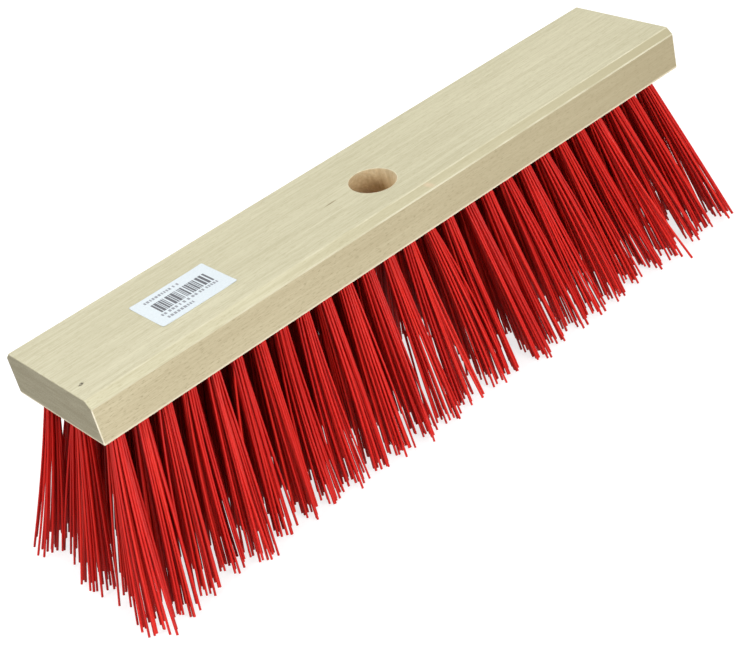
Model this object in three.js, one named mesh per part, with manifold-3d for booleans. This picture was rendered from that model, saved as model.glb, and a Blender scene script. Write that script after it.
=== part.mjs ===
// Push broom head: a beech block with an inclined through hole for the handle, a paper label on top,
// and rows of plastic bristle tufts that are planted in drilled holes and fan outwards.
//
// Millimetres, +Z up, +X along the block, +Y towards its back. The handle leans towards the front.
// The origin is the middle of the surface that the bristle tips stand on.

import * as THREE from 'three';
import { mergeVertices } from 'three/addons/utils/BufferGeometryUtils.js';
import Module from 'manifold-3d';

const wasm = await Module();
wasm.setup();

// Block
const BLOCK_LENGTH = 400;
const BLOCK_WIDTH = 76;
const BLOCK_THICKNESS = 24.5;
const CHAMFER_WIDTH = 3.8;
const CHAMFER_DROP = 3.6;

// Handle hole: its axis passes through the block's centre and leans in the YZ plane
const HANDLE_BORE_DIAMETER = 24;
const HANDLE_LEAN_DEGREES = 30;
const HANDLE_BORE_SIDES = 40;

// Tufts. Each row is shifted along the block by this share of a pitch, neighbouring rows in opposite
// ways, so that a row's tufts stand behind the gaps of the next.
const BRISTLE_LENGTH = 96.5;
const TUFTS_PER_ROW = 27;
const ROW_COUNT = 5;
const ROW_SHIFT = 0.25;
const END_MARGIN = 11.7;
const SIDE_MARGIN = 10;
const TUFT_DIAMETER = 7;
const TUFT_HOLE_DEPTH = 15;
const TUFT_END_CLEARANCE = 0.5;
const END_LEAN_DEGREES = 14.6;
const SIDE_LEAN_DEGREES = 12.4;
const TUFT_SIDES = 8;

// Label
const LABEL_LENGTH = 45;
const LABEL_WIDTH = 30;
const LABEL_THICKNESS = 0.2;
const LABEL_CORNER_RADIUS = 1;
const LABEL_CORNER_SEGMENTS = 3;
const LABEL_CENTRE_X = -121.3;
const LABEL_CENTRE_Y = -3.4;
const LABEL_GAP = 0.1;

// Fits: the free space between separate pieces, how far joined tufts run into each other,
// the least wood between a tuft's hole and the handle hole, and how far a cutting body stands proud
const FIT_GAP = 0.3;
const TUFT_JOIN = 1;
const LEAST_WALL = 1;
const CUT_MARGIN = 1;

// Two heights closer than this are the same section, and the handle hole is looked for at this many
// heights in a tuft's hole
const SAME_HEIGHT = 0.01;
const HEIGHTS_IN_HOLE = 8;

const radians = THREE.MathUtils.degToRad;
const middleColumn = (TUFTS_PER_ROW - 1) / 2;
const middleRow = (ROW_COUNT - 1) / 2;
const lastAlong = middleColumn + ROW_SHIFT;
const columnPitch = (BLOCK_LENGTH / 2 - END_MARGIN) / lastAlong;
const rowPitch = (BLOCK_WIDTH - 2 * SIDE_MARGIN) / (ROW_COUNT - 1);
const endLean = Math.tan(radians(END_LEAN_DEGREES));
const sideLean = Math.tan(radians(SIDE_LEAN_DEGREES));

// Pitches at the bristle tips, where the fan has opened
const tipColumnPitch = columnPitch + (endLean / lastAlong) * BRISTLE_LENGTH;
const tipRowPitch = rowPitch + (sideLean / middleRow) * BRISTLE_LENGTH;

const materials = {
  beech: new THREE.MeshStandardMaterial({ color: 0xd9d2af, roughness: 0.62, metalness: 0 }),
  bristle: new THREE.MeshStandardMaterial({ color: 0xc81a14, roughness: 0.38, metalness: 0 }),
  paper: new THREE.MeshStandardMaterial({ color: 0xe6edf2, roughness: 0.7, metalness: 0 }),
};

// Solids for joining and cutting

function toSolid(geometry) {
  const bare = geometry.clone();
  bare.deleteAttribute('normal');
  bare.deleteAttribute('uv');
  const merged = mergeVertices(bare);
  const corners = merged.index.array;
  const triangles = [];
  for (let i = 0; i < corners.length; i += 3) {
    const [a, b, c] = [corners[i], corners[i + 1], corners[i + 2]];
    if (a !== b && b !== c && c !== a) {
      triangles.push(a, b, c);
    }
  }
  const mesh = new wasm.Mesh({
    numProp: 3,
    vertProperties: merged.attributes.position.array,
    triVerts: new Uint32Array(triangles),
  });
  return new wasm.Manifold(mesh);
}

function toGeometry(solid) {
  const { vertProperties, triVerts } = solid.getMesh();
  const geometry = new THREE.BufferGeometry();
  geometry.setAttribute('position', new THREE.BufferAttribute(vertProperties, 3));
  geometry.setIndex(new THREE.BufferAttribute(triVerts, 1));
  geometry.computeVertexNormals();
  return geometry;
}

function addMesh(group, name, geometry, material) {
  const mesh = new THREE.Mesh(geometry, material.clone());
  mesh.name = name;
  group.add(mesh);
}

// Tufts: where each one is planted, and which way it leans

function tuftAt(row, column) {
  const across = row - middleRow;
  const along = column - middleColumn + (row % 2 === 0 ? -ROW_SHIFT : ROW_SHIFT);
  return {
    row,
    column,
    x: along * columnPitch,
    y: across * rowPitch,
    leanX: (along / lastAlong) * endLean,
    leanY: (across / middleRow) * sideLean,
  };
}

function isOuterRow(row) {
  return row === 0 || row === ROW_COUNT - 1;
}

// How far the handle hole's axis is from a tuft's own axis, anywhere in the tuft's hole
function distanceToHandleAxis(tuft) {
  const lean = radians(HANDLE_LEAN_DEGREES);
  const towardsBack = new THREE.Vector3(0, Math.cos(lean), Math.sin(lean));
  let nearest = Infinity;
  for (let step = 0; step <= HEIGHTS_IN_HOLE; step += 1) {
    const height = (TUFT_HOLE_DEPTH * step) / HEIGHTS_IN_HOLE;
    const fromCentre = new THREE.Vector3(
      tuft.x - tuft.leanX * height,
      tuft.y - tuft.leanY * height,
      height - BLOCK_THICKNESS / 2,
    );
    nearest = Math.min(nearest, Math.hypot(fromCentre.x, fromCentre.dot(towardsBack)));
  }
  return nearest;
}

// The inner rows leave out the middle column and every tuft that the handle hole would cut into
function isPlanted(tuft) {
  if (isOuterRow(tuft.row)) {
    return true;
  }
  const needed = HANDLE_BORE_DIAMETER / 2 + TUFT_DIAMETER / 2 + FIT_GAP + LEAST_WALL;
  return tuft.column !== middleColumn && distanceToHandleAxis(tuft) > needed;
}

const tufts = [];
for (let row = 0; row < ROW_COUNT; row += 1) {
  for (let column = 0; column < TUFTS_PER_ROW; column += 1) {
    const tuft = tuftAt(row, column);
    if (isPlanted(tuft)) {
      tufts.push(tuft);
    }
  }
}

// A bundle with level sections, listed from the lowest up, that leans along its tuft's axis.
// A section's halfX and halfY are half its width across the flats.
function leaningBundle(tuft, sections) {
  const cornerRadius = 1 / Math.cos(Math.PI / TUFT_SIDES);
  const profile = sections.map((section) => new THREE.Vector2(cornerRadius, section.z));
  profile.unshift(new THREE.Vector2(0, sections[0].z));
  profile.push(new THREE.Vector2(0, sections[sections.length - 1].z));
  const geometry = new THREE.LatheGeometry(profile, TUFT_SIDES, Math.PI / TUFT_SIDES);
  geometry.rotateX(Math.PI / 2);
  const position = geometry.attributes.position;
  for (let i = 0; i < position.count; i += 1) {
    const z = position.getZ(i);
    const section = sections.find((one) => Math.abs(one.z - z) < SAME_HEIGHT);
    const below = BRISTLE_LENGTH - z;
    const x = tuft.x + tuft.leanX * below + position.getX(i) * section.halfX;
    const y = tuft.y + tuft.leanY * below + position.getY(i) * section.halfY;
    position.setXY(i, x, y);
  }
  return geometry;
}

function tuftGeometry(tuft) {
  const outer = isOuterRow(tuft.row);
  const half = TUFT_DIAMETER / 2;
  const top = BRISTLE_LENGTH + TUFT_HOLE_DEPTH - TUFT_END_CLEARANCE;
  const tip = {
    z: 0,
    halfX: tipColumnPitch / 2 + (outer ? -FIT_GAP / 2 : TUFT_JOIN),
    halfY: tipRowPitch / 2 + (outer ? -TUFT_JOIN - FIT_GAP : TUFT_JOIN),
  };
  return leaningBundle(tuft, [
    tip,
    { z: BRISTLE_LENGTH, halfX: half, halfY: half },
    { z: top, halfX: half, halfY: half },
  ]);
}

function tuftHoleGeometry(tuft) {
  const half = TUFT_DIAMETER / 2 + FIT_GAP;
  return leaningBundle(tuft, [
    { z: BRISTLE_LENGTH - CUT_MARGIN, halfX: half, halfY: half },
    { z: BRISTLE_LENGTH + TUFT_HOLE_DEPTH, halfX: half, halfY: half },
  ]);
}

// Block: a bar with its two long top edges chamfered, drilled for the tufts and the handle

function blockGeometry() {
  const halfWidth = BLOCK_WIDTH / 2;
  const outline = new THREE.Shape();
  outline.moveTo(-halfWidth, 0);
  outline.lineTo(halfWidth, 0);
  outline.lineTo(halfWidth, BLOCK_THICKNESS - CHAMFER_DROP);
  outline.lineTo(halfWidth - CHAMFER_WIDTH, BLOCK_THICKNESS);
  outline.lineTo(-halfWidth + CHAMFER_WIDTH, BLOCK_THICKNESS);
  outline.lineTo(-halfWidth, BLOCK_THICKNESS - CHAMFER_DROP);
  outline.closePath();
  const bar = new THREE.ExtrudeGeometry(outline, { depth: BLOCK_LENGTH, bevelEnabled: false });
  bar.rotateX(Math.PI / 2);
  bar.rotateZ(Math.PI / 2);
  bar.translate(-BLOCK_LENGTH / 2, 0, BRISTLE_LENGTH);

  const lean = radians(HANDLE_LEAN_DEGREES);
  const boreRadius = HANDLE_BORE_DIAMETER / 2;
  const throughLength = BLOCK_THICKNESS / Math.cos(lean) + 2 * boreRadius + 2 * CUT_MARGIN;
  const bore = new THREE.CylinderGeometry(boreRadius, boreRadius, throughLength, HANDLE_BORE_SIDES);
  bore.rotateX(Math.PI / 2 + lean);
  bore.translate(0, 0, BRISTLE_LENGTH + BLOCK_THICKNESS / 2);

  let block = toSolid(bar).subtract(toSolid(bore));
  for (const tuft of tufts) {
    block = block.subtract(toSolid(tuftHoleGeometry(tuft)));
  }
  return toGeometry(block);
}

// Label: a paper sticker with small corner radii on the top face

function labelGeometry() {
  const right = LABEL_LENGTH / 2;
  const back = LABEL_WIDTH / 2;
  const corner = LABEL_CORNER_RADIUS;
  const outline = new THREE.Shape();
  outline.moveTo(-right + corner, -back);
  outline.lineTo(right - corner, -back);
  outline.absarc(right - corner, -back + corner, corner, -Math.PI / 2, 0);
  outline.lineTo(right, back - corner);
  outline.absarc(right - corner, back - corner, corner, 0, Math.PI / 2);
  outline.lineTo(-right + corner, back);
  outline.absarc(-right + corner, back - corner, corner, Math.PI / 2, Math.PI);
  outline.lineTo(-right, -back + corner);
  outline.absarc(-right + corner, -back + corner, corner, Math.PI, 1.5 * Math.PI);
  const sheet = new THREE.ExtrudeGeometry(outline, {
    depth: LABEL_THICKNESS,
    bevelEnabled: false,
    curveSegments: LABEL_CORNER_SEGMENTS,
  });
  sheet.translate(LABEL_CENTRE_X, LABEL_CENTRE_Y, BRISTLE_LENGTH + BLOCK_THICKNESS + LABEL_GAP);
  return sheet;
}

// The inner rows' tufts spread into each other at their tips, so each half of them is one solid
function joinedTufts(chosen) {
  let joined = toSolid(tuftGeometry(chosen[0]));
  for (const tuft of chosen.slice(1)) {
    joined = joined.add(toSolid(tuftGeometry(tuft)));
  }
  return toGeometry(joined);
}

function addOuterRow(group, row, rowName) {
  for (const tuft of tufts.filter((one) => one.row === row)) {
    const number = String(tuft.column + 1).padStart(2, '0');
    addMesh(group, `${rowName}_tuft_${number}`, tuftGeometry(tuft), materials.bristle);
  }
}

const broomHead = new THREE.Group();
addMesh(broomHead, 'head_block', blockGeometry(), materials.beech);
addMesh(broomHead, 'barcode_label', labelGeometry(), materials.paper);
addOuterRow(broomHead, 0, 'front');
addOuterRow(broomHead, ROW_COUNT - 1, 'back');

const innerTufts = tufts.filter((tuft) => !isOuterRow(tuft.row));
const leftTufts = innerTufts.filter((tuft) => tuft.column < middleColumn);
const rightTufts = innerTufts.filter((tuft) => tuft.column > middleColumn);
addMesh(broomHead, 'inner_tufts_left', joinedTufts(leftTufts), materials.bristle);
addMesh(broomHead, 'inner_tufts_right', joinedTufts(rightTufts), materials.bristle);

export default broomHead;
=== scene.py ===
import math
import random

import bmesh
import bpy
import numpy as np
from mathutils import Matrix, Vector, noise


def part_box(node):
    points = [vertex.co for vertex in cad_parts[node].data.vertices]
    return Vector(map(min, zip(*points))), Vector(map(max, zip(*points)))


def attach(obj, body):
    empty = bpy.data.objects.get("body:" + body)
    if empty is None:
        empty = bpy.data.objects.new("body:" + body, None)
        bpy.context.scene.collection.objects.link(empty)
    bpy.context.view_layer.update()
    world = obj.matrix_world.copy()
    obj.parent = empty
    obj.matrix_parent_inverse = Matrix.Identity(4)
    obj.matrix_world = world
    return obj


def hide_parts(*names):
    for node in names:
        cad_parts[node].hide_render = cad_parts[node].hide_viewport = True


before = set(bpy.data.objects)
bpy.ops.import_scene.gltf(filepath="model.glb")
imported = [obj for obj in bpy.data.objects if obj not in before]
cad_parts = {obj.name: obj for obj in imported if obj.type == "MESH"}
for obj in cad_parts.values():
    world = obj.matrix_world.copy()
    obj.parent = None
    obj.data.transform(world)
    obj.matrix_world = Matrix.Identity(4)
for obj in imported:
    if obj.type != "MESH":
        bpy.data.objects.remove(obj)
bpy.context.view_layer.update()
MM = 0.001

# Camera: place and axes of the photograph's camera in the CAD frame
CAMERA_PLACE = Vector((-0.43641, -0.63118, 0.52310))
CAMERA_RIGHT = Vector((0.72986, -0.64953, -0.21310))
CAMERA_UP = Vector((0.49928, 0.29358, 0.81519))
CAMERA_BACK = Vector((-0.46693, -0.70136, 0.53857))
CAMERA_LENS = 80.40
SENSOR_WIDTH = 36.0

# Block
EDGE_ROUND = 0.5 * MM
EDGE_SEGMENTS = 3
EDGE_WANDER = 0.06 * MM
WANDER_ALONG, WANDER_ACROSS = 60, 130
BLOCK_STATIONS = 100
BORE_RADIUS = 12.0 * MM
BORE_LEAN = math.radians(30)
BORE_SIDES = 96
BORE_RIM_ROUND = 0.3 * MM
HOLE_RADIUS = 3.8 * MM
HOLE_SIDES = 20
HOLE_DEPTH = 15.0 * MM
CUT_MARGIN = 1.0 * MM

# Tufts
COLUMNS = 27
INNER_ROWS = 3
HAIRPINS = 12
FILAMENT_RADIUS = 0.66 * MM
FILAMENT_SIDES = 6
RADIUS_SHARES = (0.94, 1.04)
LEG_RINGS = 7
BEND_RINGS = 3
BUNDLE_RADIUS = 3.1 * MM
PLUG_FOUND_WITHIN = 0.3 * MM
SPREAD_X = 2.05
SPREAD_Y = 3.4
SPREAD_X_SHARES = (0.85, 1.25)
SPREAD_Y_SHARES = (0.85, 1.15)
FLARE_POWER = 1.05
END_FLARE = 1.25
LEAN_SIGMA_X = 1.3 * MM
LEAN_SIGMA_Y = 1.8 * MM
END_CALM = 0.4
CALM_BEYOND = 165 * MM
CORNER_BEYOND = (185 * MM, -5 * MM)
BREAKAWAYS = 2
BREAKAWAY_REACH = (7.5 * MM, 9.5 * MM)
BOW_SIGMA = 1.0 * MM
BOW_BELLY, BOW_DRIFT = 0.6, 0.4
LOOSE_BOW = 0.6
SCATTER = 0.8 * MM
STRAY_SCATTER = 3.4 * MM
STRAY_SHARE = 0.08
SPLIT_SHARE = 0.5
SPLIT_SIGMA = 2.6 * MM
TRIM_SIGMA = 1.7 * MM
TUFT_CUT = 1.5 * MM
LONGEST_CUT = 6.0 * MM
FOLD_DEPTH = 2.2 * MM
FOLD_RISE = (1.0, 2.0)
BACK_SEEDS = 1000
INNER_SEEDS = 2000

# Anchors
ANCHOR_LENGTH = 7.2 * MM
ANCHOR_HEIGHT = 1.6 * MM
ANCHOR_THICKNESS = 0.4 * MM
ANCHOR_DEPTH = 2.4 * MM
ANCHOR_ROUND = 0.12 * MM

# Studio light, as strengths of the world below and above
WORLD_BELOW = 0.38
WORLD_ABOVE = 0.5

# Label
LABEL_GAP = 0.02 * MM
LABEL_THICKNESS = 0.15 * MM
INK_PROUD = 0.015 * MM
LABEL_CORNER = 1.0 * MM
LABEL_CURL = 0.25 * MM
CURL_STARTS = 0.55
LABEL_COLUMNS, LABEL_ROWS = 36, 24
LABEL_SEED = 7
DARK_INK, PALE_INK = 1, 2

# Stretches of an axis over which a look changes
# Painted highlight: the pale line along the lower edge of the sides and ends
LOWER_RIM_HIGHLIGHT = (0.0972, 0.0981)
UPPER_EDGE = (0.1160, 0.1175)
BORE_PALES = (0.108, 0.121)
FRONT_CHAMFER = (-0.0346, -0.0340)
# Painted shade: the front side and the front chamfer darken towards +X over these stretches
FRONT_PAINTED_FALLOFF = (-0.19, 0.19)
CHAMFER_PAINTED_FALLOFF = (-0.12, 0.19)

# Marks on the top face: centre, and half size along each axis
KNOT = ((-0.1934, -0.0215, 0.121), (0.0026, 0.0014, 0.004))
DARK_STREAK = ((-0.0268, -0.0043, 0.121), (0.0050, 0.0006, 0.004))
PINK_PATCH = ((0.0125, -0.0357, 0.119), (0.0045, 0.0016, 0.004))

# Floor
FLOOR_HALF = 3.0
FLOOR_DROP = 0.2 * MM


def linear(red, green, blue):
    """A colour from 0 to 255 on screen, as the linear RGBA that shaders take."""
    def channel(value):
        share = value / 255
        return share / 12.92 if share <= 0.04045 else ((share + 0.055) / 1.055) ** 2.4

    return (channel(red), channel(green), channel(blue), 1.0)


# Material helpers

class Material:
    """A node material around one Principled shader, with short calls for the nodes used here."""

    def __init__(self, name, roughness=None, specular=0.5):
        self.material = bpy.data.materials.new(name)
        self.material.use_nodes = True
        self.nodes = self.material.node_tree.nodes
        self.links = self.material.node_tree.links
        self.shader = self.nodes["Principled BSDF"]
        self.shader.inputs["Specular IOR Level"].default_value = specular
        if roughness is not None:
            self.shader.inputs["Roughness"].default_value = roughness
        self.place = self.nodes.new("ShaderNodeTexCoord").outputs["Object"]

    def link(self, output, socket):
        self.links.new(output, socket)

    def scaled(self, scale, location=(0, 0, 0), rotation=(0, 0, 0)):
        """Object coordinates, scaled for a pattern."""
        node = self.nodes.new("ShaderNodeMapping")
        node.inputs["Scale"].default_value = scale
        node.inputs["Location"].default_value = location
        node.inputs["Rotation"].default_value = rotation
        self.link(self.place, node.inputs["Vector"])
        return node.outputs["Vector"]

    def noise(self, scale, detail=3.0, roughness=0.55, distortion=0.0, location=(0, 0, 0)):
        node = self.nodes.new("ShaderNodeTexNoise")
        node.inputs["Scale"].default_value = 1.0
        node.inputs["Detail"].default_value = detail
        node.inputs["Roughness"].default_value = roughness
        node.inputs["Distortion"].default_value = distortion
        self.link(self.scaled(scale, location), node.inputs["Vector"])
        return node.outputs["Fac"]

    def attribute(self, name):
        node = self.nodes.new("ShaderNodeAttribute")
        node.attribute_name = name
        return node.outputs["Fac"]

    def ramp(self, value, stops):
        """stops: (place, colour) pairs, or (place, grey level)."""
        node = self.nodes.new("ShaderNodeValToRGB")
        elements = node.color_ramp.elements
        while len(elements) < len(stops):
            elements.new(0.5)
        for element, (place, colour) in zip(elements, stops):
            element.position = place
            grey = not isinstance(colour, tuple)
            element.color = (colour, colour, colour, 1.0) if grey else colour
        self.link(value, node.inputs["Fac"])
        return node.outputs["Color"]

    def mix(self, share, first, second, blend="MIX"):
        """Mixes two colours, each an output or an RGBA, by a share that is an output or a number."""
        node = self.nodes.new("ShaderNodeMix")
        node.data_type = "RGBA"
        node.blend_type = blend
        for socket, value in ((node.inputs[0], share), (node.inputs[6], first), (node.inputs[7], second)):
            if isinstance(value, bpy.types.NodeSocket):
                self.link(value, socket)
            else:
                socket.default_value = value
        return node.outputs[2]

    def math(self, operation, first, second=0.0):
        node = self.nodes.new("ShaderNodeMath")
        node.operation = operation
        for socket, value in zip(node.inputs, (first, second)):
            if isinstance(value, bpy.types.NodeSocket):
                self.link(value, socket)
            else:
                socket.default_value = value
        return node.outputs[0]

    def spread(self, value, low, high):
        """Maps a value from 0..1 to low..high."""
        node = self.nodes.new("ShaderNodeMapRange")
        node.inputs["To Min"].default_value = low
        node.inputs["To Max"].default_value = high
        self.link(value, node.inputs["Value"])
        return node.outputs["Result"]

    def share_along(self, axis, low, high):
        """0 at the low end of a stretch of an axis and 1 at its high end."""
        split = self.nodes.new("ShaderNodeSeparateXYZ")
        self.link(self.place, split.inputs[0])
        share = self.nodes.new("ShaderNodeMapRange")
        share.inputs["From Min"].default_value = low
        share.inputs["From Max"].default_value = high
        self.link(split.outputs[axis], share.inputs["Value"])
        return share.outputs["Result"]

    def spot(self, centre, half_size, turn=0.0):
        """A soft blob: 1 at its centre, falling to 0 at half_size along each axis."""
        shift = self.nodes.new("ShaderNodeVectorMath")
        shift.operation = "SUBTRACT"
        shift.inputs[1].default_value = centre
        self.link(self.place, shift.inputs[0])
        node = self.nodes.new("ShaderNodeMapping")
        node.vector_type = "TEXTURE"
        node.inputs["Rotation"].default_value = (0, 0, turn)
        node.inputs["Scale"].default_value = half_size
        self.link(shift.outputs[0], node.inputs["Vector"])
        ball = self.nodes.new("ShaderNodeTexGradient")
        ball.gradient_type = "SPHERICAL"
        self.link(node.outputs["Vector"], ball.inputs["Vector"])
        return ball.outputs["Fac"]

    def bump(self, height, strength, distance):
        node = self.nodes.new("ShaderNodeBump")
        node.inputs["Strength"].default_value = strength
        node.inputs["Distance"].default_value = distance
        self.link(height, node.inputs["Height"])
        self.link(node.outputs["Normal"], self.shader.inputs["Normal"])

    def colour(self, output):
        self.link(output, self.shader.inputs["Base Color"])

    def rough(self, output):
        self.link(output, self.shader.inputs["Roughness"])


# Wood

STREAKS = (11, 380, 420)
FINE_STREAKS = (60, 1300, 1500)
DASHES = (150, 2100, 2300)
FLECKS = (300, 1500, 1700)
CLOUDS = (7, 22, 22)


def wood_colour(mat, pale, mid, dark, fleck, fleck_share):
    """Planed beech: wide clouds, streaks along X, and short flecks."""
    cloud = mat.ramp(mat.noise(CLOUDS, detail=2), [(0.35, mid), (0.65, pale)])
    streak = mat.ramp(mat.noise(STREAKS, detail=4, distortion=0.3), [(0.36, dark), (0.52, mid), (0.66, pale)])
    base = mat.mix(0.4, cloud, streak)
    fine = mat.ramp(mat.noise(FINE_STREAKS, detail=4, roughness=0.65), [(0.40, 0.0), (0.68, 0.55)])
    base = mat.mix(fine, base, dark)
    light = mat.ramp(mat.noise(DASHES, detail=3, roughness=0.6), [(0.50, 0.0), (0.72, 0.5)])
    base = mat.mix(light, base, pale)
    flecks = mat.ramp(mat.noise(FLECKS, detail=2, roughness=0.6), [(0.56, 0.0), (0.68, fleck_share)])
    return mat.mix(flecks, base, fleck)


def wood_surface(mat, strength=0.35):
    grain = mat.noise(FINE_STREAKS, detail=4)
    mat.rough(mat.spread(grain, 0.52, 0.74))
    mat.bump(grain, strength, 0.15 * MM)


def face_wood():
    mat = Material("beech_planed", specular=0.32)
    base = wood_colour(
        mat, linear(198, 193, 165), linear(188, 183, 154), linear(170, 163, 133), linear(150, 140, 108), 0.3
    )
    ink = mat.ramp(mat.noise((900, 900, 900), detail=2), [(0.35, 0.0), (0.6, 1.0)])
    knot = mat.ramp(mat.spot(*KNOT, 0.5), [(0.15, 0.0), (0.5, 1.0)])
    base = mat.mix(mat.math("MULTIPLY", knot, ink), base, linear(74, 66, 48))
    # Painted shade: the front chamfer darkens towards +X, standing for the light falling off across the front
    front = mat.math("SUBTRACT", 1.0, mat.share_along("Y", *FRONT_CHAMFER))
    painted_falloff = mat.math("MULTIPLY", mat.share_along("X", *CHAMFER_PAINTED_FALLOFF), 0.95)
    base = mat.mix(mat.math("MULTIPLY", front, painted_falloff), base, linear(166, 158, 127))
    streak = mat.ramp(mat.spot(*DARK_STREAK, 0.02), [(0.05, 0.0), (0.6, 0.85)])
    base = mat.mix(streak, base, linear(122, 106, 76))
    pink = mat.ramp(mat.spot(*PINK_PATCH, -0.5), [(0.0, 0.0), (0.8, 0.4)])
    base = mat.mix(pink, base, linear(208, 178, 150))
    mat.colour(base)
    wood_surface(mat)
    return mat.material


def painted_lower_rim_highlight(mat, base):
    """A pale line painted along the lower edge: a painted highlight where the edge catches light."""
    painted_highlight = mat.math("SUBTRACT", 1.0, mat.share_along("Z", *LOWER_RIM_HIGHLIGHT))
    return mat.mix(mat.math("MULTIPLY", painted_highlight, 0.9), base, linear(232, 220, 192))


def side_wood():
    mat = Material("beech_side", specular=0.3)
    base = wood_colour(
        mat, linear(208, 197, 164), linear(197, 185, 152), linear(179, 166, 133), linear(150, 137, 105), 0.6
    )
    # Painted shade: the side darkens towards +X, standing for the light falling off across the front
    painted_falloff = mat.math("MULTIPLY", mat.share_along("X", *FRONT_PAINTED_FALLOFF), 0.6)
    base = mat.mix(painted_falloff, base, linear(160, 147, 115))
    mat.colour(painted_lower_rim_highlight(mat, base))
    wood_surface(mat, 0.45)
    return mat.material


def end_wood():
    mat = Material("beech_end_grain", specular=0.25)
    arcs = mat.noise((10, 40, 300), detail=3, distortion=1.2)
    rings = mat.ramp(arcs, [(0.36, linear(156, 149, 126)), (0.64, linear(170, 163, 140))])
    pores = mat.ramp(mat.noise((1500, 1500, 1500), detail=3), [(0.46, 0.0), (0.66, 1.0)])
    base = mat.mix(mat.math("MULTIPLY", pores, 0.4), rings, linear(130, 122, 98))
    mat.colour(painted_lower_rim_highlight(mat, base))
    mat.rough(mat.spread(pores, 0.66, 0.85))
    mat.bump(pores, 0.4, 0.12 * MM)
    return mat.material


def edge_wood():
    mat = Material("beech_edge_wear_and_painted_highlight", specular=0.15)
    wear_and_highlight = mat.noise((60, 300, 300), detail=3)
    upper = mat.ramp(wear_and_highlight, [(0.35, linear(184, 178, 148)), (0.65, linear(200, 195, 169))])
    # Painted highlight: the lower edges are paler where they catch light; the upper edges keep a plain
    # worn-wood colour
    lower = mat.ramp(wear_and_highlight, [(0.30, linear(215, 205, 178)), (0.65, linear(240, 232, 208))])
    mat.colour(mat.mix(mat.share_along("Z", *UPPER_EDGE), lower, upper))
    wood_surface(mat, 0.3)
    return mat.material


def rim_wood():
    mat = Material("beech_bore_rim", specular=0.15)
    # Paler than the top face: partly wear on the rounded rim and partly a painted highlight
    wear_and_highlight = mat.noise((300, 300, 300), detail=3)
    mat.colour(mat.ramp(wear_and_highlight, [(0.35, linear(205, 196, 166)), (0.65, linear(222, 215, 190))]))
    wood_surface(mat, 0.3)
    return mat.material


def bore_wood():
    mat = Material("beech_bore", specular=0.22)
    cut_grain = mat.noise((450, 450, 80), detail=4, roughness=0.65)
    pale = mat.ramp(cut_grain, [(0.3, linear(186, 168, 134)), (0.65, linear(214, 198, 164))])
    warm = mat.ramp(cut_grain, [(0.3, linear(200, 170, 124)), (0.65, linear(224, 198, 152))])
    grain = mat.mix(mat.share_along("Z", *BORE_PALES), warm, pale)
    torn = mat.ramp(mat.noise((120, 700, 700), detail=3), [(0.45, 0.0), (0.7, 1.0)])
    mat.colour(mat.mix(mat.math("MULTIPLY", torn, 0.35), grain, linear(190, 158, 114)))
    mat.rough(mat.spread(torn, 0.7, 0.9))
    mat.bump(torn, 0.6, 0.2 * MM)
    return mat.material


def bristle_plastic():
    mat = Material("red_bristle_plastic", specular=0.38)
    tone = mat.attribute("tone")
    red = mat.ramp(tone, [(0.0, linear(176, 14, 9)), (0.5, linear(202, 23, 14)), (1.0, linear(216, 40, 27))])
    mottle = mat.noise((500, 500, 60), detail=2)
    mottled = mat.ramp(mottle, [(0.35, linear(186, 17, 10)), (0.65, linear(210, 32, 21))])
    red = mat.mix(0.35, red, mottled)
    mat.colour(mat.mix(mat.attribute("cut"), red, linear(232, 96, 84)))
    mat.rough(mat.spread(mat.noise((700, 700, 40), detail=2), 0.30, 0.48))
    mat.bump(mat.noise((2200, 2200, 120), detail=2), 0.18, 0.05 * MM)
    return mat.material


def label_paper():
    mat = Material("label_paper", specular=0.4)
    fibres = mat.noise((900, 900, 900), detail=3)
    mat.colour(mat.ramp(fibres, [(0.3, linear(196, 205, 210)), (0.7, linear(206, 214, 218))]))
    mat.rough(mat.spread(fibres, 0.42, 0.58))
    mat.bump(fibres, 0.12, 0.04 * MM)
    return mat.material


def label_ink(name, dark, light):
    mat = Material(name, specular=0.35)
    speckle = mat.noise((1800, 1800, 1800), detail=2)
    mat.colour(mat.ramp(speckle, [(0.3, dark), (0.7, light)]))
    mat.rough(mat.spread(speckle, 0.45, 0.6))
    return mat.material


def anchor_steel():
    mat = Material("anchor_steel")
    mat.shader.inputs["Metallic"].default_value = 1.0
    drawn = mat.noise((150, 2500, 2500), detail=2)
    mat.colour(mat.ramp(drawn, [(0.3, linear(176, 176, 174)), (0.7, linear(206, 206, 202))]))
    mat.rough(mat.spread(drawn, 0.28, 0.45))
    return mat.material


# Mesh helpers

def mesh_of(body, name):
    """Turns a bmesh into a mesh and frees it."""
    mesh = bpy.data.meshes.new(name)
    body.to_mesh(mesh)
    body.free()
    return mesh


def new_object(name, mesh):
    piece = bpy.data.objects.new(name, mesh)
    bpy.context.scene.collection.objects.link(piece)
    return piece


def applied(piece):
    """Turns the object's modifiers into mesh and clears them."""
    graph = bpy.context.evaluated_depsgraph_get()
    shown = piece.evaluated_get(graph)
    mesh = bpy.data.meshes.new_from_object(shown, preserve_all_data_layers=True, depsgraph=graph)
    piece.modifiers.clear()
    piece.data = mesh
    return piece


def smoothed(mesh, angle):
    mesh.polygons.foreach_set("use_smooth", [True] * len(mesh.polygons))
    mesh.set_sharp_from_angle(angle=angle)


def points_of(node):
    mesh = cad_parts[node].data
    places = np.empty(len(mesh.vertices) * 3, np.float32)
    mesh.vertices.foreach_get("co", places)
    return places.reshape(-1, 3)


def adopt(piece, slot, *nodes):
    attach(piece, "root")
    if nodes:
        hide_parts(*nodes)


# Where the tufts are planted, read from the CAD nodes

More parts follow.
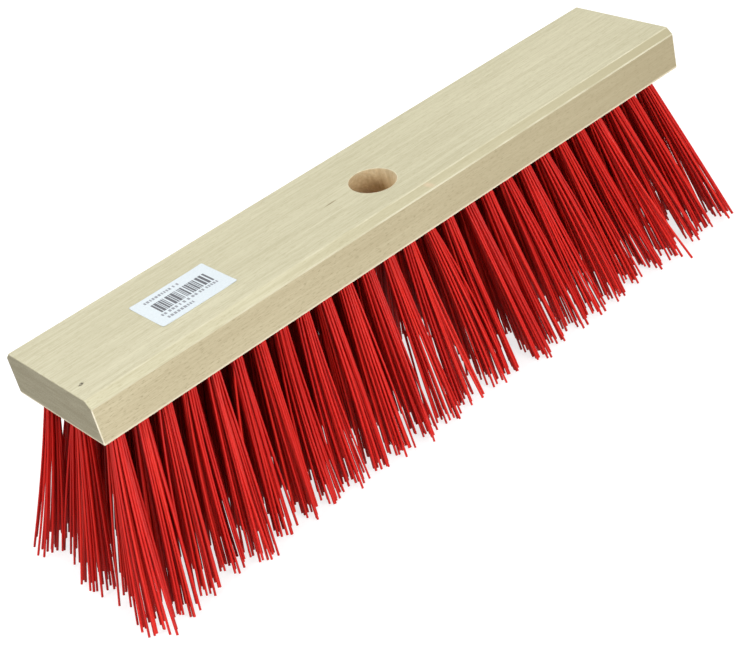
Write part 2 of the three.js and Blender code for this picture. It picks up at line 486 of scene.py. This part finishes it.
def end_centres(node):
    """Centres of a tuft's plug top and of its tip."""
    points = points_of(node)
    high, low = points[:, 2].max(), points[:, 2].min()
    top = points[points[:, 2] > high - 0.1 * MM]
    tip = points[points[:, 2] < low + 0.1 * MM]
    return Vector((top.max(0) + top.min(0)) / 2), Vector((tip.max(0) + tip.min(0)) / 2)


def plug_tops(node):
    points = points_of(node)
    return points[points[:, 2] > points[:, 2].max() - 0.1 * MM]


def has_plug(tops, place):
    near = np.hypot(tops[:, 0] - place.x, tops[:, 1] - place.y) < HOLE_RADIUS + PLUG_FOUND_WITHIN
    return bool(near.any())


inner_nodes = ["inner_tufts_left", "inner_tufts_right"]
inner_tops = np.concatenate([plug_tops(node) for node in inner_nodes])
front_row = [end_centres(f"front_tuft_{column:02d}") for column in range(1, COLUMNS + 1)]
back_row = [end_centres(f"back_tuft_{column:02d}") for column in range(1, COLUMNS + 1)]
half_pitch, half_tip_pitch = [(front_row[-1][k] - front_row[0][k]) / (COLUMNS - 1) / 2 for k in (0, 1)]
tufts = []
for column, (front, back) in enumerate(zip(front_row, back_row), 1):
    tufts.append(("front", column, *front))
    tufts.append(("back", column, *back))
    for row in range(1, INNER_ROWS + 1):
        plug, tip = [front[k].lerp(back[k], row / (INNER_ROWS + 1)) for k in (0, 1)]
        if row % 2:
            plug, tip = plug + half_pitch, tip + half_tip_pitch
        if has_plug(inner_tops, plug):
            tufts.append(("inner", column, plug, tip))


def axis_point(plug, tip, z):
    return plug.lerp(tip, (plug.z - z) / (plug.z - tip.z))


# Block

block_low, block_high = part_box("head_block")
block_points = points_of("head_block")
on_top = np.abs(block_points[:, 2] - block_high.z) < 0.01 * MM
top_half_width = float(np.abs(block_points[on_top, 1]).max())
on_back = np.abs(block_points[:, 1] - block_high.y) < 0.01 * MM
side_top = float(block_points[on_back, 2].max())


def block_bar():
    """The bar with its chamfers, cut into stations along X, before its edges are rounded."""
    half = block_high.y
    outline = [
        (-half, block_low.z), (half, block_low.z), (half, side_top),
        (top_half_width, block_high.z), (-top_half_width, block_high.z), (-half, side_top),
    ]
    body = bmesh.new()
    rings = []
    for station in range(BLOCK_STATIONS + 1):
        x = block_low.x + (block_high.x - block_low.x) * station / BLOCK_STATIONS
        rings.append([body.verts.new((x, y, z)) for y, z in outline])
    body.faces.new(rings[0][::-1])
    body.faces.new(rings[-1])
    for first, second in zip(rings, rings[1:]):
        for i in range(len(outline)):
            j = (i + 1) % len(outline)
            body.faces.new((first[i], first[j], second[j], second[i]))
    bmesh.ops.recalc_face_normals(body, faces=body.faces)
    return new_object("head_block_beech", mesh_of(body, "head_block_beech"))


WOOD_FACE, WOOD_SIDE, WOOD_END, WOOD_EDGE, WOOD_BORE, WOOD_RIM = range(6)


def bore_cutter():
    """A leaning round bore whose mouths open into a small rounded rim."""
    middle = (block_low.z + block_high.z) / 2
    mouth = [BORE_RIM_ROUND * (1 - math.cos(math.radians(a))) for a in (0, 30, 60, 90)]
    rise = [BORE_RIM_ROUND * math.sin(math.radians(a)) for a in (0, 30, 60, 90)]
    upper = [(block_high.z - BORE_RIM_ROUND + dz, wide, WOOD_RIM) for dz, wide in zip(rise, mouth)]
    upper.append((block_high.z + CUT_MARGIN, mouth[-1], WOOD_RIM))
    lower = [(block_low.z + block_high.z - z, wide, kind) for z, wide, kind in upper[::-1]]
    sections = lower + upper
    body = bmesh.new()
    rings = []
    for z, wide, kind in sections:
        centre_y = -(z - middle) * math.tan(BORE_LEAN)
        ring = []
        for i in range(BORE_SIDES):
            angle = 2 * math.pi * i / BORE_SIDES
            x = (BORE_RADIUS + wide) * math.cos(angle)
            y = centre_y + (BORE_RADIUS / math.cos(BORE_LEAN) + wide) * math.sin(angle)
            ring.append(body.verts.new((x, y, z)))
        rings.append(ring)
    body.faces.new(rings[0][::-1]).material_index = WOOD_RIM
    body.faces.new(rings[-1]).material_index = WOOD_RIM
    for k, (first, second) in enumerate(zip(rings, rings[1:])):
        straight = k == len(lower) - 1
        for i in range(BORE_SIDES):
            j = (i + 1) % BORE_SIDES
            face = body.faces.new((first[i], first[j], second[j], second[i]))
            face.material_index = WOOD_BORE if straight else WOOD_RIM
    bmesh.ops.recalc_face_normals(body, faces=body.faces)
    return new_object("bore_cutter", mesh_of(body, "bore_cutter"))


def tuft_hole_cutter():
    body = bmesh.new()
    for _, _, plug, tip in tufts:
        rings = []
        for z in (block_low.z - CUT_MARGIN, block_low.z + HOLE_DEPTH):
            centre = axis_point(plug, tip, z)
            ring = []
            for i in range(HOLE_SIDES):
                angle = 2 * math.pi * i / HOLE_SIDES
                x = centre.x + HOLE_RADIUS * math.cos(angle)
                y = centre.y + HOLE_RADIUS * math.sin(angle)
                ring.append(body.verts.new((x, y, z)))
            rings.append(ring)
        body.faces.new(rings[0][::-1])
        body.faces.new(rings[1])
        for i in range(HOLE_SIDES):
            j = (i + 1) % HOLE_SIDES
            body.faces.new((rings[0][i], rings[0][j], rings[1][j], rings[1][i]))
    for face in body.faces:
        face.material_index = WOOD_BORE
    bmesh.ops.recalc_face_normals(body, faces=body.faces)
    return new_object("tuft_hole_cutter", mesh_of(body, "tuft_hole_cutter"))


def cut(piece, cutter):
    modifier = piece.modifiers.new("cut", "BOOLEAN")
    modifier.operation = "DIFFERENCE"
    modifier.solver = "EXACT"
    modifier.material_mode = "INDEX"
    modifier.object = cutter
    applied(piece)
    bpy.data.objects.remove(cutter)


def make_block():
    woods = [face_wood(), side_wood(), end_wood(), edge_wood(), bore_wood(), rim_wood()]
    block = block_bar()
    for wood in woods:
        block.data.materials.append(wood)
    for face in block.data.polygons:
        if abs(face.normal.x) > 0.9:
            face.material_index = WOOD_END
        elif abs(face.normal.y) > 0.9:
            face.material_index = WOOD_SIDE
        else:
            face.material_index = WOOD_FACE
    round_off = block.modifiers.new("round", "BEVEL")
    round_off.width = EDGE_ROUND
    round_off.segments = EDGE_SEGMENTS
    round_off.limit_method = "ANGLE"
    round_off.angle_limit = math.radians(25)
    round_off.material = WOOD_EDGE
    applied(block)
    for vertex in block.data.vertices:
        x, y, z = vertex.co
        wander = noise.noise(Vector((x * WANDER_ALONG, y * WANDER_ACROSS, z * WANDER_ACROSS)))
        inward = Vector((0, vertex.co.y, vertex.co.z - (block_low.z + block_high.z) / 2)).normalized()
        vertex.co -= inward * EDGE_WANDER * (0.5 + 0.5 * wander)
    for cutter in (bore_cutter(), tuft_hole_cutter()):
        for wood in woods:
            cutter.data.materials.append(wood)
        cut(block, cutter)
    smoothed(block.data, math.radians(35))
    even = block.modifiers.new("even", "WEIGHTED_NORMAL")
    even.keep_sharp = True
    even.weight = 100
    applied(block)
    adopt(block, "beech_wood", "head_block")


# Tufts

def tube_rings(path, radius):
    """Rings of points round a path, as one array."""
    path = np.asarray(path)
    along = np.gradient(path, axis=0)
    along /= np.linalg.norm(along, axis=1)[:, None]
    side = np.empty_like(path)
    side[0] = np.cross(along[0], (0.0, 1.0, 0.0) if abs(along[0][1]) < 0.9 else (1.0, 0.0, 0.0))
    side[0] /= np.linalg.norm(side[0])
    for i in range(1, len(path)):
        side[i] = side[i - 1] - along[i] * side[i - 1].dot(along[i])
        side[i] /= np.linalg.norm(side[i])
    up = np.cross(along, side)
    angles = 2 * np.pi * np.arange(FILAMENT_SIDES) / FILAMENT_SIDES
    circle = side[:, None] * np.cos(angles)[None, :, None] + up[:, None] * np.sin(angles)[None, :, None]
    return path[:, None] + radius * circle


def leg_path(root, tip, flare, bow, mouth_z):
    """Points from a filament's place in its hole to its tip: straight in the hole, then flared and bowed."""
    share_at_mouth = (root[2] - mouth_z) / (root[2] - tip[2])
    shares = np.concatenate([[0.0], np.linspace(share_at_mouth, 1.0, LEG_RINGS)])
    free = (shares - share_at_mouth) / (1 - share_at_mouth)
    sag = np.where(free > 0, 4 * free * (1 - free) * BOW_BELLY + BOW_DRIFT * free * free, 0.0)
    free = np.maximum(free, 0.0)
    return root + (tip - root) * shares[:, None] + flare * (free ** FLARE_POWER)[:, None] + bow * sag[:, None]


def tuft_legs(dice, plug, tip, turn, calm):
    """Roots and tips of one tuft's filaments, as pairs either side of its anchor."""
    count = 2 * HAIRPINS
    order = np.arange(count)
    reach = BUNDLE_RADIUS * np.sqrt((order + 0.5) / count)
    angle = order * math.pi * (3 - math.sqrt(5)) + turn
    offsets = np.stack([reach * np.cos(angle), reach * np.sin(angle)], 1)
    lean = np.array([dice.gauss(0, LEAN_SIGMA_X), dice.gauss(0, LEAN_SIGMA_Y)]) * calm
    widen = np.array([SPREAD_X * dice.uniform(*SPREAD_X_SHARES), SPREAD_Y * dice.uniform(*SPREAD_Y_SHARES)])
    widen *= 1 + (END_FLARE - 1) * (calm < 1)
    bow = np.array([dice.gauss(0, BOW_SIGMA), dice.gauss(0, BOW_SIGMA), 0.0])
    tuft_cut = dice.uniform(0, TUFT_CUT)
    split_off = dice.random() < SPLIT_SHARE * calm
    split_way = dice.uniform(0, 2 * math.pi)
    split_axis = np.array([math.cos(split_way), math.sin(split_way)])
    split_shift = np.array([dice.gauss(0, SPLIT_SIGMA), dice.gauss(0, SPLIT_SIGMA)])
    in_corner = plug.x > CORNER_BEYOND[0] and plug.y < CORNER_BEYOND[1]
    breakaways = set(np.argsort(-offsets[:, 0])[:BREAKAWAYS]) if in_corner else ()
    legs = []
    for number, offset in enumerate(offsets):
        stray = dice.random() < STRAY_SHARE
        loose = STRAY_SCATTER if stray else SCATTER
        shift = np.array([dice.gauss(0, loose), dice.gauss(0, loose)])
        if split_off and offset @ split_axis > BUNDLE_RADIUS / 3:
            shift += split_shift
        if number in breakaways:
            shift[0] += dice.uniform(*BREAKAWAY_REACH)
        own_bow = bow + np.array([dice.gauss(0, loose * LOOSE_BOW), dice.gauss(0, loose * LOOSE_BOW), 0.0])
        trim = min(LONGEST_CUT, tuft_cut + abs(dice.gauss(0, TRIM_SIGMA)))
        root = np.array([plug.x + offset[0], plug.y + offset[1], plug.z])
        end = np.array([*(np.array(tip.xy) + lean + offset), trim])
        flare = np.array([*(offset * (widen - 1) + shift), 0.0])
        legs.append((root, end, flare, own_bow))
    return offsets, legs


def hairpin_path(first, second, apex_z, mouth_z):
    """One filament folded over the anchor: tip, hole, fold, hole, tip."""
    down = leg_path(*first, mouth_z)[::-1]
    up = leg_path(*second, mouth_z)
    start, end = down[-1], up[0]
    bends = []
    for k in range(1, BEND_RINGS + 1):
        angle = math.pi * k / (BEND_RINGS + 1)
        place = start + (end - start) * (1 - math.cos(angle)) / 2
        place[2] = start[2] + (apex_z - start[2]) * math.sin(angle)
        bends.append(place)
    return np.concatenate([down, np.array(bends), up])


def tuft_mesh(name, planted, plastic):
    """One piece holding the filaments of the given tufts."""
    points, faces, tones, cuts = [], [], [], []
    for seed, plug, tip in planted:
        dice = random.Random(seed)
        fold_z = plug.z - FOLD_DEPTH
        turn = dice.uniform(0, 2 * math.pi)
        root_plug = axis_point(plug, tip, fold_z)
        calm = END_CALM if abs(plug.x) > CALM_BEYOND else 1.0
        offsets, legs = tuft_legs(dice, root_plug, tip, turn, calm)
        across = np.array([math.cos(turn), math.sin(turn)])
        along = np.array([-across[1], across[0]])
        ranked = np.argsort(offsets @ across)
        sides = ranked[:HAIRPINS], ranked[HAIRPINS:]
        halves = [sorted(side, key=lambda i: offsets[i] @ along) for side in sides]
        for a, b in zip(*halves):
            apex = fold_z + dice.uniform(*FOLD_RISE) * MM
            path = hairpin_path(legs[a], legs[b], apex, block_low.z)
            rings = tube_rings(path, FILAMENT_RADIUS * dice.uniform(*RADIUS_SHARES))
            first = len(points)
            points.extend(rings.reshape(-1, 3))
            rows = len(path)
            for r in range(rows - 1):
                for s in range(FILAMENT_SIDES):
                    t = (s + 1) % FILAMENT_SIDES
                    low, high = first + r * FILAMENT_SIDES, first + (r + 1) * FILAMENT_SIDES
                    faces.append((low + s, low + t, high + t, high + s))
            faces.append(tuple(first + s for s in range(FILAMENT_SIDES))[::-1])
            faces.append(tuple(first + (rows - 1) * FILAMENT_SIDES + s for s in range(FILAMENT_SIDES)))
            tone = dice.random()
            tones.extend([tone] * (len(faces) - len(tones)))
            cuts.extend([0.0] * (len(faces) - len(cuts) - 2) + [1.0, 1.0])
    mesh = bpy.data.meshes.new(name)
    mesh.from_pydata([tuple(p) for p in points], [], faces)
    mesh.materials.append(plastic)
    for label, values in (("tone", tones), ("cut", cuts)):
        mesh.attributes.new(label, "FLOAT", "FACE").data.foreach_set("value", values)
    smoothed(mesh, math.radians(65))
    return new_object(name, mesh)


def make_tufts():
    plastic = bristle_plastic()
    for row, column, plug, tip in tufts:
        if row == "inner":
            continue
        seed = column + (BACK_SEEDS if row == "back" else 0)
        piece = tuft_mesh(f"bristles_{row}_{column:02d}", [(seed, plug, tip)], plastic)
        adopt(piece, "red_bristle", f"{row}_tuft_{column:02d}")
    for column in range(1, COLUMNS + 1):
        inner = [(plug, tip) for row, c, plug, tip in tufts if row == "inner" and c == column]
        if not inner:
            continue
        planted = [(INNER_SEEDS + 10 * column + k, plug, tip) for k, (plug, tip) in enumerate(inner)]
        piece = tuft_mesh(f"bristles_inner_{column:02d}", planted, plastic)
        adopt(piece, "red_bristle", inner_nodes[0] if column <= COLUMNS // 2 else inner_nodes[1])


def make_anchors():
    body = bmesh.new()
    for row, column, plug, tip in tufts:
        centre = axis_point(plug, tip, plug.z - ANCHOR_DEPTH)
        size = Matrix.Diagonal((ANCHOR_LENGTH, ANCHOR_THICKNESS, ANCHOR_HEIGHT, 1))
        bmesh.ops.create_cube(body, size=1.0, matrix=Matrix.Translation(centre) @ size)
    bmesh.ops.bevel(body, geom=body.edges[:], offset=ANCHOR_ROUND, segments=2, affect="EDGES", profile=0.5)
    mesh = mesh_of(body, "tuft_anchor_wires")
    smoothed(mesh, math.radians(50))
    mesh.materials.append(anchor_steel())
    adopt(new_object("tuft_anchor_wires", mesh), "anchor_wire")


# Label

label_low, label_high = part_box("barcode_label")


def label_height(x, y):
    """How far the sheet stands off the wood: flat in the middle, lifting slightly towards its corners."""
    u = abs((x - label_low.x) / (label_high.x - label_low.x) * 2 - 1)
    v = abs((y - label_low.y) / (label_high.y - label_low.y) * 2 - 1)
    lift = max(0.0, u * v - CURL_STARTS) / (1 - CURL_STARTS)
    return LABEL_CURL * lift * lift


def label_sheet(body):
    """A sheet with rounded corners, as a grid so that it can lift at its corners."""
    columns, rows = LABEL_COLUMNS, LABEL_ROWS
    width, depth = label_high.x - label_low.x, label_high.y - label_low.y
    bottom = block_high.z + LABEL_GAP

    def rounded(x, y):
        """Draws a grid point in towards the rounded outline."""
        inner_x = min(max(x, label_low.x + LABEL_CORNER), label_high.x - LABEL_CORNER)
        inner_y = min(max(y, label_low.y + LABEL_CORNER), label_high.y - LABEL_CORNER)
        dx, dy = x - inner_x, y - inner_y
        reach = math.hypot(dx, dy)
        if reach <= LABEL_CORNER:
            return x, y
        return inner_x + dx * LABEL_CORNER / reach, inner_y + dy * LABEL_CORNER / reach

    def eased(k, count, low, length):
        """Grid lines, closer together within the corner radius."""
        if k == 0 or k == count:
            return low + length * (k == count)
        if k == 1 or k == count - 1:
            inset = LABEL_CORNER * 0.45
            return low + inset if k == 1 else low + length - inset
        return low + LABEL_CORNER + (length - 2 * LABEL_CORNER) * (k - 2) / (count - 4)

    layers = []
    for lift in (0.0, LABEL_THICKNESS):
        grid = []
        for i in range(columns + 1):
            line = []
            for j in range(rows + 1):
                x = eased(i, columns, label_low.x, width)
                y = eased(j, rows, label_low.y, depth)
                px, py = rounded(x, y)
                line.append(body.verts.new((px, py, bottom + lift + label_height(px, py))))
            grid.append(line)
        layers.append(grid)
    for i in range(columns):
        for j in range(rows):
            for layer, grid in enumerate(layers):
                corners = (grid[i][j], grid[i + 1][j], grid[i + 1][j + 1], grid[i][j + 1])
                body.faces.new(corners if layer else corners[::-1])
    rim = [(i, 0) for i in range(columns)] + [(columns, j) for j in range(rows)]
    rim += [(i, rows) for i in range(columns, 0, -1)] + [(0, j) for j in range(rows, 0, -1)]
    for (a, b), (c, d) in zip(rim, rim[1:] + rim[:1]):
        body.faces.new((layers[0][a][b], layers[0][c][d], layers[1][c][d], layers[1][a][b]))


def ink_bar(body, left, right, front, back, ink):
    """A printed bar, given in shares of the label's length and width."""
    x0 = label_low.x + left * (label_high.x - label_low.x)
    x1 = label_low.x + right * (label_high.x - label_low.x)
    y0 = label_low.y + front * (label_high.y - label_low.y)
    y1 = label_low.y + back * (label_high.y - label_low.y)
    base = block_high.z + LABEL_GAP + LABEL_THICKNESS - INK_PROUD
    corners = []
    for lift in (0.0, 2 * INK_PROUD):
        corners.append([
            body.verts.new((x, y, base + lift + label_height(x, y)))
            for x, y in ((x0, y0), (x1, y0), (x1, y1), (x0, y1))
        ])
    bottom, top = corners
    faces = [body.faces.new(bottom[::-1]), body.faces.new(top)]
    for i in range(4):
        j = (i + 1) % 4
        faces.append(body.faces.new((bottom[i], bottom[j], top[j], top[i])))
    for face in faces:
        face.material_index = ink


def dash_row(body, dice, left, right, front):
    """A row of plain marks in place of a printed line."""
    at = left
    while at < right - 0.02:
        width = dice.uniform(0.018, 0.034)
        ink_bar(body, at, min(at + width, right), front, front + 0.07, PALE_INK)
        at += width + dice.choice((0.013, 0.013, 0.030))


def make_label():
    dice = random.Random(LABEL_SEED)
    body = bmesh.new()
    label_sheet(body)
    at = 0.16
    while at < 0.86:
        width = dice.choice((0.010, 0.016, 0.024, 0.034))
        ink_bar(body, at, at + width, 0.38, 0.72, DARK_INK)
        at += width + dice.choice((0.009, 0.009, 0.013, 0.020))
    dash_row(body, dice, 0.14, 0.60, 0.82)
    dash_row(body, dice, 0.12, 0.88, 0.27)
    dash_row(body, dice, 0.14, 0.50, 0.13)
    mesh = mesh_of(body, "label_sticker")
    mesh.materials.append(label_paper())
    mesh.materials.append(label_ink("label_ink", linear(70, 72, 78), linear(96, 98, 104)))
    mesh.materials.append(label_ink("label_pale_ink", linear(120, 124, 130), linear(146, 150, 156)))
    smoothed(mesh, math.radians(40))
    adopt(new_object("label_sticker", mesh), "label_paper", "barcode_label")


# Stage

def make_floor():
    mat = Material("floor_paper", roughness=0.9, specular=0.1)
    mat.shader.inputs["Base Color"].default_value = (0.35, 0.35, 0.35, 1)
    mat.shader.inputs["Emission Color"].default_value = (1.0, 1.0, 1.0, 1)
    mat.shader.inputs["Emission Strength"].default_value = 0.75
    half = FLOOR_HALF
    corners = [(-half, -half, 0), (half, -half, 0), (half, half, 0), (-half, half, 0)]
    mesh = bpy.data.meshes.new("studio_floor")
    mesh.from_pydata(corners, [], [(0, 1, 2, 3)])
    mesh.materials.append(mat.material)
    floor = new_object("studio_floor", mesh)
    floor.location.z = -FLOOR_DROP
    floor.visible_diffuse = False
    floor.visible_glossy = False


def area_light(name, place, target, size, watts):
    data = bpy.data.lights.new(name, "AREA")
    data.shape = "DISK"
    data.size = size
    data.energy = watts
    lamp = bpy.data.objects.new(name, data)
    lamp.location = place
    lamp.rotation_euler = (Vector(target) - Vector(place)).to_track_quat("-Z", "Y").to_euler()
    bpy.context.scene.collection.objects.link(lamp)


def make_world():
    """White to the camera. As a light it is bright overhead and dim from below."""
    world = bpy.data.worlds.new("studio_world")
    world.use_nodes = True
    nodes, links = world.node_tree.nodes, world.node_tree.links
    background = nodes["Background"]
    background.inputs["Color"].default_value = (1.0, 1.0, 1.0, 1)
    direction = nodes.new("ShaderNodeTexCoord")
    split = nodes.new("ShaderNodeSeparateXYZ")
    links.new(direction.outputs["Generated"], split.inputs[0])
    light = nodes.new("ShaderNodeMapRange")
    light.inputs["From Min"].default_value = -0.3
    light.inputs["From Max"].default_value = 0.7
    light.inputs["To Min"].default_value = WORLD_BELOW
    light.inputs["To Max"].default_value = WORLD_ABOVE
    links.new(split.outputs["Z"], light.inputs["Value"])
    seen = nodes.new("ShaderNodeLightPath")
    level = nodes.new("ShaderNodeMix")
    links.new(seen.outputs["Is Camera Ray"], level.inputs[0])
    links.new(light.outputs["Result"], level.inputs[2])
    level.inputs[3].default_value = 1.0
    links.new(level.outputs[0], background.inputs["Strength"])
    bpy.context.scene.world = world


def make_stage():
    make_floor()
    make_world()
    area_light("key_light", (-0.05, -1.9, 0.85), (0, 0, 0.08), 1.0, 33)
    area_light("top_light", (-0.1, 0.2, 2.3), (0, 0, 0.1), 1.6, 14)
    area_light("left_light", (-2.0, -0.1, 0.9), (0, 0, 0.08), 0.9, 21)
    area_light("right_light", (2.0, 0.3, 0.7), (0, 0, 0.08), 0.9, 12)
    area_light("back_light", (0.3, 2.0, 0.8), (0, 0, 0.08), 1.0, 16)
    bpy.context.scene.view_settings.view_transform = "Standard"


def make_camera():
    data = bpy.data.cameras.new("photo_camera")
    data.lens = CAMERA_LENS
    data.sensor_width = SENSOR_WIDTH
    data.clip_end = 50
    camera = bpy.data.objects.new("photo_camera", data)
    turn = Matrix((CAMERA_RIGHT, CAMERA_UP, CAMERA_BACK)).transposed().to_4x4()
    camera.matrix_world = Matrix.Translation(CAMERA_PLACE) @ turn
    bpy.context.scene.collection.objects.link(camera)
    bpy.context.scene.camera = camera


make_camera()
make_stage()
make_block()
make_label()
make_tufts()
make_anchors()
